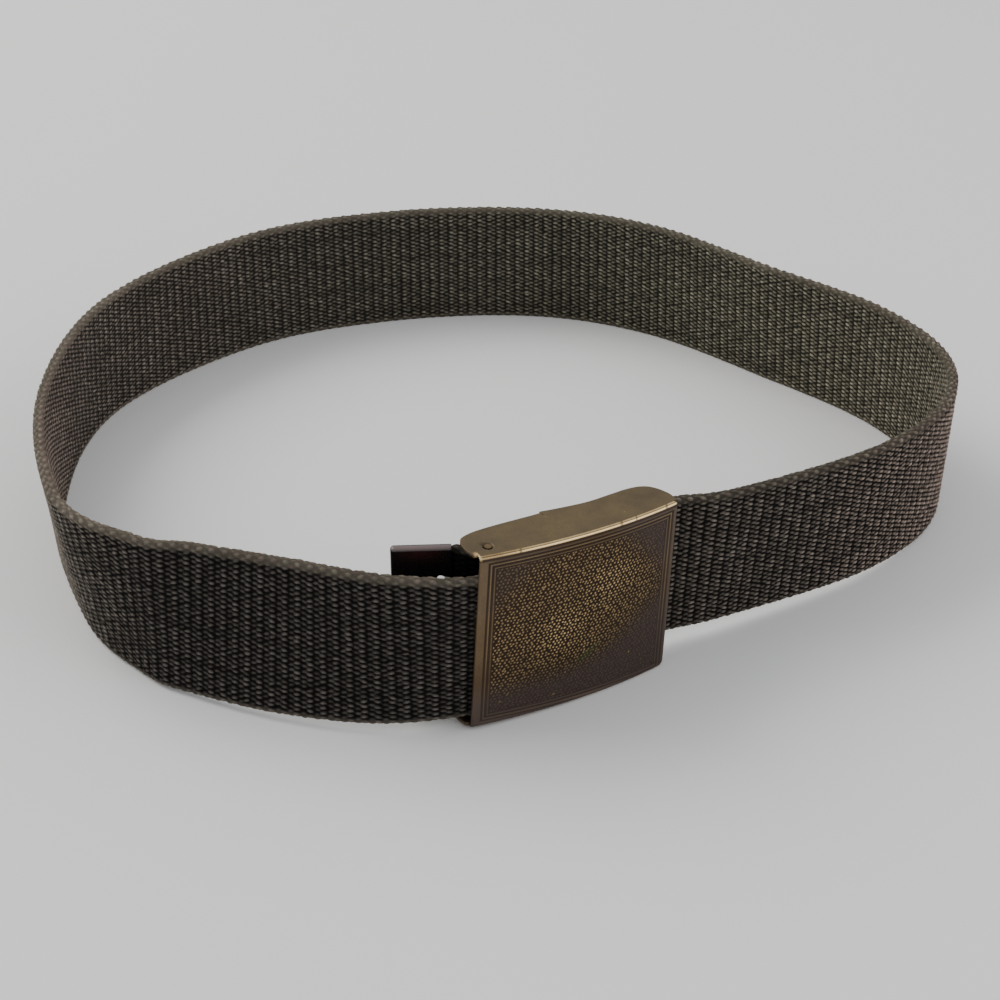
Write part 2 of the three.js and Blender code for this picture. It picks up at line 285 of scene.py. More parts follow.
def smooth_rows(rows, per_span):
    """A uniform Catmull-Rom curve through the rows. On each span from b to c, between a and d, it is
    (2b + (c-a)t + (2a-5b+4c-d)t^2 + (3b-a-3c+d)t^3) / 2, and the end rows are mirrored outwards."""
    rows = np.asarray(rows, float)
    full = np.vstack((2 * rows[0] - rows[1], rows, 2 * rows[-1] - rows[-2]))
    a, b, c, d = (full[k : len(full) - 3 + k][:, None, :] for k in range(4))
    t = (np.arange(per_span) / per_span)[None, :, None]
    cubic = 2 * b + (c - a) * t + (2 * a - 5 * b + 4 * c - d) * t**2 + (3 * b - a - 3 * c + d) * t**3
    return np.vstack(((cubic / 2).reshape(-1, rows.shape[1]), rows[-1:]))


def at_even_steps(line, count):
    """The polyline's columns at `count` even steps of its length, measured in its first two columns."""
    length = np.concatenate(((0.0,), np.cumsum(np.hypot(*np.diff(line[:, :2], axis=0).T))))
    even = np.linspace(0, length[-1], count)
    return np.stack([np.interp(even, length, column) for column in line.T], 1), even


# Webbing


def slab_section(count, thickness, width, edge_radius):
    """Points round an upright slab's section at even steps, from its lower edge up the outer face:
    a rectangle of thickness by width with its corners turned on edge_radius.
    Returns offset, height, the outward normal and the distance round."""
    half = thickness / 2 - edge_radius
    corners = (
        (half, edge_radius, -90),
        (half, width - edge_radius, 0),
        (-half, width - edge_radius, 90),
        (-half, edge_radius, 180),
    )
    arcs = []
    points_per_corner = 25
    for offset, height, start in corners:
        angle = np.radians(np.linspace(start, start + 90, points_per_corner))
        out = offset + edge_radius * np.cos(angle)
        up = height + edge_radius * np.sin(angle)
        arcs.append(np.stack((out, up, angle), 1))
    line = np.vstack(arcs + [arcs[0][:1] + np.array((0, 0, 2 * math.pi))])
    even, round_it = at_even_steps(line, count + 1)
    offset, height, angle = even[:-1].T
    return offset, height, np.cos(angle), np.sin(angle), round_it[:-1]


def weave_relief(along, row_place, column_pitch, row_pitch):
    """Height of the weave, 0 in the valleys to 1 on the crowns, and a random tone for each float.
    A float is a lens (1 - (dv / b)^2)^0.7 * (1 - du^2)^0.8, where du is the place along it as a share of
    its reach and b its half width, which narrows as sqrt(1 - du^2). Each float is a little shifted and
    turned, neighbouring columns are staggered by half a row, and the highest float wins. Columns lie in
    pairs, the second of a pair is lower, and so is every seventh float of the first."""
    reach = 0.72 * column_pitch
    half_width = 0.45 * row_pitch
    pair_shift = 0.12
    shift_spread, turn_spread = 0.075, 0.11
    low_column, low_float = 0.8, 0.85
    rng = np.random.default_rng(WEAVE_SEED)
    columns = int(np.ceil(along[-1] / column_pitch)) + 4
    rows = int(row_place[-1]) + 1
    shift = rng.normal(0, shift_spread, (columns, rows, 2))
    turn = rng.normal(0, turn_spread, (columns, rows))
    tone = rng.uniform(0, 1, (columns, rows))
    swell = rng.uniform(0.86, 1.0, (columns, rows))
    swell[::2] *= low_column
    swell[1::2, ::7] *= low_float
    best = np.zeros((len(along), len(row_place)))
    shade = np.full(best.shape, 0.5)
    home = np.round(along / column_pitch).astype(int)
    for step in (-1, 0, 1):
        column = (home + step)[:, None]
        stagger = 0.5 * (column % 2)
        row = np.round(row_place[None, :] - stagger).astype(int)
        at = (column + 1, row % rows)
        centre = (column - pair_shift * (column % 2)) * column_pitch
        du = (along[:, None] - centre - shift[at][..., 0]) / reach
        taper = np.clip(1 - du**2, 1e-6, 1)
        dv = (row_place[None, :] - stagger - row - turn[at] * du) * row_pitch - shift[at][..., 1]
        across = np.clip(1 - (dv / (half_width * np.sqrt(taper))) ** 2, 0, 1)
        height = swell[at] * across**0.7 * taper**0.8 * (np.abs(du) < 1)
        shade = np.where(height > best, tone[at], shade)
        best = np.maximum(best, height)
    return best, shade


def build_webbing(settings, material):
    """Carries the section along the route, leaning it outwards, with the weave raised on it.
    A point is centre + outward * (offset + lean * height / width), raised from lift to the upper edge."""
    thickness = np.full((len(ROUTE), 1), WEB_THICKNESS)
    thickness[-PRESSED_ROWS:] = WEB_PRESSED
    fine = smooth_rows(np.hstack((ROUTE, thickness)), 200)
    total = float(np.hypot(*np.diff(fine[:, :2], axis=0).T).sum())
    stations = int(round(total / (settings.column_pitch / STATIONS_PER_COLUMN))) + 1
    line, along = at_even_steps(fine, stations)
    x, y, lean, lift, thick = (column[:, None] for column in line.T)
    run = np.stack((np.gradient(line[:, 0], along), np.gradient(line[:, 1], along)), 1)
    run /= np.linalg.norm(run, axis=1)[:, None]
    edge_radius = settings.edge_radius
    perimeter = 2 * (WEB_WIDTH + WEB_THICKNESS - 4 * edge_radius) + 2 * math.pi * edge_radius
    rows = 2 * int(round(perimeter / settings.row_pitch / 2))
    count = POINTS_PER_ROW * rows
    offset, height, normal_out, normal_up, round_it = slab_section(
        count, WEB_THICKNESS, WEB_WIDTH, edge_radius
    )
    relief, shade = weave_relief(
        along, np.arange(count) / POINTS_PER_ROW, settings.column_pitch, perimeter / rows
    )
    from_speck = ((along[:, None] - SPECK_PLACE) / SPECK_LENGTH) ** 2
    white_speck = np.exp(-from_speck - ((round_it - perimeter / 2) / SPECK_WIDTH) ** 2)
    raised = settings.crown_rise - settings.weave_depth * (1 - relief) + SPECK_HEIGHT * white_speck
    raised = raised + settings.loop_rise * soft_step(height, WEB_WIDTH - edge_radius, WEB_WIDTH)
    share = thick / WEB_THICKNESS
    up = (height + raised * normal_up) / WEB_WIDTH
    out = (offset + raised * normal_out) * share + lean * up
    low = np.maximum(lift, 0)
    tall = np.sqrt(WEB_WIDTH**2 - lean**2)
    level = np.maximum(low + tall * up, 0)
    points = np.stack((x - run[:, 1:] * out, y + run[:, :1] * out, level), 2)
    side = np.broadcast_to(offset / (WEB_THICKNESS / 2), relief.shape)
    from_edge = np.minimum(height, WEB_WIDTH - height)
    selvedge = np.broadcast_to(1 - soft_step(from_edge, 0.7, 1.5), relief.shape)
    place = np.stack(
        (np.broadcast_to(along[:, None], relief.shape), np.broadcast_to(round_it, relief.shape), side), 2
    )
    cuts = np.round(np.linspace(0, stations - 1, len(WEBBING_RUNS) + 1)).astype(int)
    for name, first, last in zip(WEBBING_RUNS, cuts[:-1], cuts[1:]):
        part = slice(first, last + 1)
        quads, caps = tube_faces(last + 1 - first, count)
        made = piece(
            name,
            np.vstack((points[part].reshape(-1, 3), points[[first, last]].mean(1))),
            quads,
            caps,
            material,
            from_plan,
            {
                "relief": np.append(relief[part].ravel(), (0.2, 0.2)),
                "tone": np.append(shade[part].ravel(), (0.5, 0.5)),
                "selvedge": np.append(selvedge[part].ravel(), (0.0, 0.0)),
                "white_speck": np.append(white_speck[part].ravel(), (0.0, 0.0)),
                "place": np.vstack((place[part].reshape(-1, 3), place[[first, last]].mean(1))),
            },
            flat=len(caps),
        )
        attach(made, "root")
        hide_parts("webbing")


# Buckle cover


def face_depth(along, inset):
    """Depth of the face: a shallow arch that sweeps back to the right, with its ends turned in. With s the
    share of the length it is inset + FACE_SET - FACE_BULGE (1 - (2s - 1)^2) + RIGHT_SWEEP s^4."""
    end = np.clip(np.minimum(along - inset, BOX_LENGTH - inset - along), 0, EDGE_ROUND)
    turned_in = EDGE_ROUND * (1 - np.sqrt(1 - (1 - end / EDGE_ROUND) ** 2))
    share = along / BOX_LENGTH
    arch = FACE_BULGE * (1 - (2 * share - 1) ** 2)
    return inset + FACE_SET - arch + RIGHT_SWEEP * share**4 + turned_in


def pebble_domes(along, up, pitch):
    """Height of the pebbles, 0 between them to 1 on top: domes 1 - (distance / radius)^2 on a staggered
    lattice, each moved at random. The random values repeat after `size` lines, more than there are."""
    rng = np.random.default_rng(PEBBLE_SEED)
    size = 97
    moved = rng.uniform(-0.2, 0.2, (size, size, 2))
    radius = rng.uniform(0.3, 0.4, (size, size))
    line_pitch = pitch * math.sqrt(3) / 2
    best = np.zeros(np.broadcast_shapes(along.shape, up.shape))
    home = np.round(up / line_pitch).astype(int)
    for down in (-1, 0, 1):
        line = home + down
        stagger = 0.5 * (line % 2)
        column_home = np.round(along / pitch - stagger).astype(int)
        for sideways in (-1, 0, 1):
            column = column_home + sideways
            jitter = moved[line % size, column % size]
            du = along / pitch - stagger - column - jitter[..., 0]
            dv = (up / line_pitch - line - jitter[..., 1]) * line_pitch / pitch
            near = (du**2 + dv**2) / radius[line % size, column % size] ** 2
            best = np.maximum(best, np.clip(1 - near, 0, 1))
    return best


def bump_across(value, centre, half_width):
    """A rounded ridge across value: (1 - ((value - centre) / half_width)^2) where positive."""
    return np.clip(1 - ((value - centre) / half_width) ** 2, 0, 1)


def soft_step(value, start, end):
    """0 before start, 1 after end, and the smooth cubic 3t^2 - 2t^3 between."""
    t = np.clip((value - start) / (end - start), 0, 1)
    return t * t * (3 - 2 * t)


def face_relief(along, up, settings):
    """How far the face stands above its sunk field, in mm, with masks of pebbles, ribs, strip and field.
    The border's inset is the distance from a frame set out a little from the right, upper and lower edge."""
    below = up + CLOSER_BELOW + BELOW_TAPER * along
    above = BOX_HEIGHT + CLOSER_ABOVE - up
    inset = np.minimum.reduce(
        np.broadcast_arrays(along, BOX_LENGTH + CLOSER_RIGHT - along, below, above)
    )
    strip = 1 - soft_step(inset, STRIP_EDGE - 0.25, STRIP_EDGE + 0.25)
    ribs = sum(rise * bump_across(inset, centre, half) for centre, half, rise in RIBS)
    field = soft_step(inset, FIELD_EDGE - 0.15, FIELD_EDGE + 0.15)
    domes = pebble_domes(along, up, settings.pebble_pitch) * field
    height = FIELD_DEPTH * strip + RIB_RISE * ribs + settings.pebble_height * domes**0.8
    return height, domes, ribs, strip, field


def spaced(parts):
    """Stations over neighbouring stretches, each given as (start, end, pitch)."""
    made = [
        np.linspace(start, end, max(1, int(round((end - start) / pitch))), endpoint=False)
        for start, end, pitch in parts
    ]
    return np.concatenate(made + [np.array((parts[-1][1],))])


def corner_cut(up):
    """How far the face's right edge draws in near its corners: r - sqrt(r^2 - (r - d)^2), where d is the
    distance from the upper or lower edge; the lower corner is rounder."""
    low = np.clip(CORNER_BOTTOM - up, 0, CORNER_BOTTOM)
    high = np.clip(CORNER_TOP - (BOX_HEIGHT - up), 0, CORNER_TOP)
    lower = CORNER_BOTTOM - np.sqrt(CORNER_BOTTOM**2 - low**2)
    return lower + CORNER_TOP - np.sqrt(CORNER_TOP**2 - high**2)


def spots(first, second, marks):
    """Soft round spots, 1 in their middles, at the marks' places."""
    found = np.zeros(first.shape)
    for first_place, second_place, radius in marks:
        away = ((first - first_place) ** 2 + (second - second_place) ** 2) / radius**2
        found = np.maximum(found, np.exp(-(away**2)))
    return found


def gold_share(along, up):
    """How far the face is rubbed to gold, partly a painted reflection along its diagonal: least along the
    bottom and in the two right corners, and most at two spots on the diagonal."""
    bottom = soft_step(up, 6, 15)
    upper_right = 1 - soft_step((along - 38) / 12 + (up - 34) / 14, 0, 1.1)
    lower_right = 1 - soft_step((along - 27) / 16 - (up - 16) / 12, 0, 1.2)
    upper_left = 1 - 0.6 * soft_step((up - 36) / 12 - (along - 14) / 12, 0, 1)
    low_spot = np.exp(-(((along - 21) / 6.5) ** 2) - ((up - 22) / 5.5) ** 2)
    high_spot = np.exp(-(((along - 33) / 7) ** 2) - ((up - 33) / 6) ** 2)
    even = bottom * upper_right * lower_right * upper_left
    return np.clip(even * (0.5 + 0.6 * low_spot + 0.5 * high_spot), 0, 1)


def build_cover(settings, material):
    """One bent sheet as a closed surface over two parameters: a place along the box, and a place round
    the sheet's section, which runs outside from the lower flange's edge over the fold, the face and the
    upper fold to the upper flange's edge, and back inside."""
    along_share = spaced(ALONG_STRETCHES) / BOX_LENGTH
    radius = settings.fold_radius
    share = np.linspace(0, 1, 1201)
    flange_edge = FLANGE_LEFT + FLANGE_BACK + FLANGE_RIGHT
    edge_line, _ = at_even_steps(smooth_rows(flange_edge, 60), len(share))
    back_x, back_y = (np.interp(along_share, share, column)[None, :] for column in edge_line.T)

    def sheet_side(depth, ups, back_shares, angles):
        """One side of the sheet, `depth` below its outer surface, and the place round its section: 0 on
        the face, 1 to 2 round the upper fold, 2 on the upper flange, and the same negative below."""
        bend = radius - depth
        level = np.concatenate(
            (
                np.full(len(back_shares), depth),
                radius - bend * np.sin(angles[::-1]),
                ups,
                BOX_HEIGHT - radius + bend * np.sin(angles),
                np.full(len(back_shares), BOX_HEIGHT - depth),
            )
        )[:, None]
        still = np.zeros(len(ups))
        full_turn = np.full(len(back_shares), math.pi / 2)
        turned = np.concatenate((full_turn, angles[::-1], still, angles, full_turn))[:, None]
        fold = len(back_shares) + len(angles)
        sign = np.concatenate((np.full(fold, -1), still, np.full(fold, 1)))[:, None]
        front = np.zeros(2 * len(angles) + len(ups))
        back = np.concatenate((back_shares[::-1], front, back_shares))[:, None]
        right = BOX_LENGTH - depth - corner_cut(level)
        x = depth + (right - depth) * along_share[None, :]
        y = face_depth(x, depth) + bend * (1 - np.cos(turned))
        x, y = x + (back_x - x) * back, y + (back_y - y) * back
        around = np.broadcast_to(sign * (1 + turned / (math.pi / 2)), x.shape)
        return np.stack((x, y, np.broadcast_to(level, x.shape)), 2), around

    fine_ups = spaced(
        (
            (radius, 3.2, 0.15),
            (3.2, BOX_HEIGHT - 3.8, 0.225),
            (BOX_HEIGHT - 3.8, BOX_HEIGHT - radius, 0.15),
        )
    )
    fold_angles = np.radians(np.linspace(0, 90, 15))[1:-1]
    outer, around = sheet_side(0.0, fine_ups, spaced(BACK_STRETCHES), fold_angles)
    coarse_ups = np.linspace(radius, BOX_HEIGHT - radius, 20)
    inner, _ = sheet_side(SHEET, coarse_ups, np.linspace(0, 1, 6), fold_angles[::4])
    inner = inner[::-1]

    # Relief on the face, and the hinge pin's hole sunk into the upper flange
    x, y, z = (outer[..., k].copy() for k in range(3))
    height, domes, ribs, strip, field = face_relief(x, z, settings)
    on_face = around == 0
    upper = around > 0
    flange = np.abs(around) > 1.999
    pin_away = np.hypot(x - PIN_CENTRE[0], y - PIN_CENTRE[1])
    hole = (1 - soft_step(pin_away, *PIN_HOLE_WALL)) * (flange & upper)
    above_fold = soft_step(z, radius - 0.1, radius + 0.5)
    outer[..., 1] -= np.where(on_face, (height - FIELD_DEPTH) * above_fold, 0)
    outer[..., 2] -= PIN_HOLE_DEPTH * hole

    points = np.vstack((outer, inner))
    points[..., 0] *= 1 + LOWER_SPREAD / BOX_LENGTH * (1 - points[..., 2] / BOX_HEIGHT)
    index = np.arange(points[..., 0].size).reshape(points.shape[:2])
    quads = grid_faces(np.vstack((index, index[:1])))
    left = end_cap(index[:, 0], len(outer))
    right = end_cap(index[:, -1], len(outer))[:, ::-1]
    caps = np.vstack((left, right))

    # Where the metal is rubbed bright and painted with highlight and reflection, where dirt stays in the
    # hollows beside painted shade in the pin hole and under the upper fold, and where the flanges are. The
    # folds carry two bright lines of wear and painted highlight, at a turn of 0.46 and 0.83 of a quarter.
    gold = gold_share(x, z)
    fade = 0.5 + 0.5 * soft_step(z, 5, 24)
    dots = soft_step(domes, 0.1, 0.7)
    strip_rub = 0.17 + 0.07 * (1 - soft_step(x, 2.5, 4)) - 0.1 * (1 - soft_step(z, 1.5, 4))
    # Pebble tops rubbed bright, with painted reflection where the gold share is high.
    face_wear_and_sheen = dots * (0.13 + 0.95 * gold) + fade * (0.36 * ribs + strip * strip_rub)
    face_wear_and_sheen = np.maximum(face_wear_and_sheen, 0.7 * spots(x, z, FACE_MARKS))
    # The upper fold's bright lines are wear and a painted highlight; the lower fold's are much weaker.
    lines = bump_across(np.abs(around), 1.46, 0.2) + bump_across(np.abs(around), 1.83, 0.17)
    lines = lines * np.where(upper, 1.45, 0.3) * (0.6 + 0.4 * soft_step(x, 2, 16))
    for place, half in FOLD_NICKS:
        lines = lines * (1 - 0.6 * np.exp(-(((x - place - 0.5 * (np.abs(around) - 1.6)) / half) ** 2)))
    worn_corner = np.exp(-(((x + 0.1) / 0.55) ** 4) - ((y - 1.0) / 1.5) ** 4) * (upper & (around != 0))
    rub = np.where(on_face, face_wear_and_sheen, np.clip(lines, 0, 1.5) + 1.5 * worn_corner)
    rub = np.maximum(rub, 0.55 * spots(x, y, FLANGE_MARKS) * (flange & upper))
    grooves = (1 - field) * (1 - strip) * (1 - np.clip(ribs, 0, 1)) * (0.55 + 0.3 * soft_step(z, 30, 44))
    # Dirt in the pebble hollows and grooves, and painted shade in the pin hole and just below the upper fold.
    dirt_and_shade = np.where(on_face, field * (1 - dots) * (0.6 + 0.6 * gold) + grooves, 0) + hole
    shade_below_fold = upper * bump_across(np.abs(around), 1.1, 0.2) + on_face * soft_step(z, 46.2, 46.6)
    dirt_and_shade = np.maximum(dirt_and_shade, 0.75 * np.clip(shade_below_fold, 0, 1))
    rest = inner[..., 0].size
    made = piece(
        "buckle_cover",
        points.reshape(-1, 3),
        quads,
        caps,
        material,
        from_box,
        {
            "rub": np.append(np.clip(rub, 0, 1.5).ravel(), np.full(rest, 0.25)),
            "dirt_and_shade": np.append(np.clip(dirt_and_shade, 0, 1).ravel(), np.full(rest, 0.5)),
            "flange": np.append(flange.ravel().astype(float), np.zeros(rest)),
            "gold": np.append(gold.ravel(), np.zeros(rest)),
            "place": points.reshape(-1, 3),
        },
        flat=len(caps),
    )
    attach(made, "root")
    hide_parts("cover")


def end_cap(ring, outer_count):
    """Triangles that close the sheet's section at its left end: each outer step joins the inner point
    that lies as far round, and where that changes a second triangle fills in."""
    outer = ring[:outer_count]
    inner = ring[outer_count:][::-1]
    match = np.round(np.linspace(0, len(inner) - 1, len(outer))).astype(int)
    first = np.stack((outer[:-1], outer[1:], inner[match[:-1]]), 1)
    turns = np.flatnonzero(np.diff(match))
    second = np.stack((outer[turns + 1], inner[match[turns + 1]], inner[match[turns]]), 1)
    return np.vstack((first, second))


# Tip


def build_tip(material):
    """A folded sleeve: an upright slab's section with rounded corners, carried along the tip and drawn in
    along its normals. It is drawn in by r (1 - cos t) at r (1 - sin t) from the closed end, and over the
    lip at the mouth by the sheet's thickness, from where it goes back inside."""
    end = np.array(ROUTE[-1])
    run = (end - np.array(ROUTE[-2]))[:2]
    run = run / np.hypot(*run)
    mouth = end[:2] + run * (TIP_WALL + 2 * TIP_GAP - TIP_LENGTH)
    thickness = WEB_PRESSED + 2 * (TIP_GAP + TIP_WALL)
    tall = WEB_WIDTH + 2 * (TIP_GAP + TIP_WALL)
    count = 400
    offset, height, normal_out, normal_up, _ = slab_section(count, thickness, tall, TIP_EDGE_ROUND)
    turn = np.linspace(math.pi / 2, 0, 9)
    lip = np.linspace(0, math.pi, 8)[1:]
    straight = np.linspace(TIP_LENGTH - TIP_EDGE_ROUND, TIP_WALL, 24)[1:]
    inside_end = (4.0,)
    closed_end = TIP_LENGTH - TIP_EDGE_ROUND * (1 - np.sin(turn))
    mouth_end = TIP_WALL * (1 - np.sin(lip))
    length = np.concatenate((closed_end, straight, mouth_end, inside_end))[:, None]
    closed_in = TIP_EDGE_ROUND * (1 - np.cos(turn))
    mouth_in = TIP_WALL * (1 - np.cos(lip)) / 2
    drawn_in = np.concatenate((closed_in, np.zeros(len(straight)), mouth_in, (TIP_WALL,)))[:, None]
    out = offset - drawn_in * normal_out
    up = height - drawn_in * normal_up
    points = np.stack(
        (
            mouth[0] + run[0] * length - run[1] * out,
            mouth[1] + run[1] * length + run[0] * out,
            end[3] - TIP_GAP - TIP_WALL + up,
        ),
        2,
    )
    quads, caps = tube_faces(len(length), count)
    # Painted grey highlight along the upper edge, and a painted red-brown reflection below it on the outer
    # side.
    band = soft_step(normal_up, 0.0, 0.8) * soft_step(offset / thickness, -0.1, 0.04)
    edge_highlight = np.broadcast_to(band, up.shape) * (drawn_in < 0.2)
    painted_reflection = np.exp(-(((tall - up - 1.6) / 1.5) ** 2) - ((length - 6.5) / 4.0) ** 2) * (offset > 0)
    made = piece(
        "tip_sleeve",
        np.vstack((points.reshape(-1, 3), points[[0, -1]].mean(1))),
        quads[:, ::-1],
        caps[:, ::-1],
        material,
        from_plan,
        {
            "edge_highlight": np.append(edge_highlight.ravel(), (0.0, 0.0)),
            "painted_reflection": np.append(painted_reflection.ravel(), (0.0, 0.0)),
        },
    )
    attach(made, "root")
    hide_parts("strap_tip")


# Materials


class Nodes:
    """Adds and links the nodes of one tree."""

    def __init__(self, tree):
        self.tree = tree
        self.count = 0

    def add(self, kind, inputs=None, **settings):
        """A node of this kind, with its properties set and its inputs linked or given values."""
        node = self.tree.nodes.new(kind)
        node.location = (220 * (self.count % 8), -260 * (self.count // 8))
        self.count += 1
        for key, value in settings.items():
            setattr(node, key, value)
        for key, value in (inputs or {}).items():
            self.join(value, node.inputs[key])
        return node

    def join(self, value, socket):
        """Links a socket, or sets a plain value."""
        if isinstance(value, bpy.types.NodeSocket):
            self.tree.links.new(value, socket)
        elif socket.type == "RGBA" and len(value) == 3:
            socket.default_value = (*value, 1)
        else:
            socket.default_value = value

    def math(self, operation, first, second=0.0):
        """One operation on two values."""
        return self.add("ShaderNodeMath", {0: first, 1: second}, operation=operation).outputs[0]

    def times(self, first, second):
        """The product of two values."""
        return self.math("MULTIPLY", first, second)

    def plus(self, first, second):
        """The sum of two values."""
        return self.math("ADD", first, second)

    def mix(self, share, first, second):
        """Colours mixed by a share."""
        return self.add("ShaderNodeMix", {0: share, 6: first, 7: second}, data_type="RGBA").outputs[2]

    def spread(self, value, low, high, to_low=0.0, to_high=1.0):
        """A value's range from low to high stretched and clamped."""
        inputs = {"Value": value, 1: low, 2: high, 3: to_low, 4: to_high}
        return self.add("ShaderNodeMapRange", inputs).outputs[0]

    def ramp(self, value, stops):
        """A colour by value, from (place, colour) stops."""
        node = self.add("ShaderNodeValToRGB", {0: value})
        ramp = node.color_ramp
        for _ in stops[2:]:
            ramp.elements.new(0.5)
        for element, (place, colour) in zip(ramp.elements, sorted(stops)):
            element.position = place
            element.color = (*colour, 1)
        return node.outputs[0]

    def noise(self, vector, scale, detail=2.0, roughness=0.5):
        """Soft noise of this scale."""
        inputs = {"Vector": vector, "Scale": scale, "Detail": detail, "Roughness": roughness}
        return self.add("ShaderNodeTexNoise", inputs).outputs[0]

    def vector(self, operation, first, second):
        """The outputs of one operation on two vectors."""
        return self.add("ShaderNodeVectorMath", {0: first, 1: second}, operation=operation).outputs

    def attribute(self, name, output="Fac"):
        """A point attribute of the piece."""
        return self.add("ShaderNodeAttribute", attribute_name=name).outputs[output]

    def own_place(self):
        """Places in the object's own coordinates, in millimetres."""
        own = self.add("ShaderNodeTexCoord").outputs["Object"]
        return self.vector("MULTIPLY", own, (1 / MM, 1 / MM, 1 / MM))[0]

    def texture(self, tree, place):
        """The outputs of a shader group at these places."""
        return self.add("ShaderNodeGroup", {"Place": place}, node_tree=tree).outputs

    def bump(self, shader, strength, distance, height):
        """Bends a shader's normal by a height that counts as this distance in metres."""
        inputs = {"Strength": strength, "Distance": distance, "Height": height}
        self.join(self.add("ShaderNodeBump", inputs).outputs[0], shader.inputs["Normal"])


def group(name, inputs, outputs):
    """An empty shader group with these sockets, and its node adder, input node and output node."""
    tree = bpy.data.node_groups.new(name, "ShaderNodeTree")
    for key, kind, value in inputs:
        socket = tree.interface.new_socket(key, in_out="INPUT", socket_type=kind)
        if value is not None:
            socket.default_value = value
    for key, kind in outputs:
        tree.interface.new_socket(key, in_out="OUTPUT", socket_type=kind)
    adder = Nodes(tree)
    return tree, adder, adder.add("NodeGroupInput"), adder.add("NodeGroupOutput")


def patina_group():
    """Blotches and fine grain of handled metal, from places in millimetres."""
    tree, n, start, end = group(
        "Handled metal",
        (("Place", "NodeSocketVector", None), ("Blotch size", "NodeSocketFloat", 9.0)),
        (("Blotch", "NodeSocketFloat"), ("Grain", "NodeSocketFloat")),
    )
    place = start.outputs["Place"]
    scale = n.math("DIVIDE", 1.0, start.outputs["Blotch size"])
    n.join(n.spread(n.noise(place, scale, 4.0, 0.62), 0.36, 0.66), end.inputs["Blotch"])
    n.join(n.noise(place, 4.0, 3.0, 0.7), end.inputs["Grain"])
    return tree


def yarn_group():
    """Twisted strands within each float, and loose fuzz, from places on the ribbon in millimetres."""
    tree, n, start, end = group(
        "Cotton yarn",
        (("Place", "NodeSocketVector", None),),
        (("Strands", "NodeSocketFloat"), ("Fuzz", "NodeSocketFloat"), ("Patches", "NodeSocketFloat")),
    )
    place = start.outputs["Place"]
    turn = n.vector("DOT_PRODUCT", place, (4.0, 15.0, 0.0))["Value"]
    strands = n.math("SINE", n.plus(turn, n.times(n.noise(place, 0.8, 1.0), 6.0)))
    n.join(n.spread(strands, -1.0, 1.0), end.inputs["Strands"])
    stretched = n.vector("MULTIPLY", place, (0.7, 1.6, 1.0))[0]
    n.join(n.noise(stretched, 3.2, 3.0, 0.75), end.inputs["Fuzz"])
    n.join(n.noise(place, 0.06, 3.0, 0.6), end.inputs["Patches"])
    return tree


def new_material(name):
    """A material with an empty tree, its node adder and its shader."""
    material = bpy.data.materials.new(name)
    material.use_nodes = True
    material.node_tree.nodes.clear()
    n = Nodes(material.node_tree)
    shader = n.add("ShaderNodeBsdfPrincipled")
    n.add("ShaderNodeOutputMaterial", {"Surface": shader.outputs[0]})
    return material, n, shader


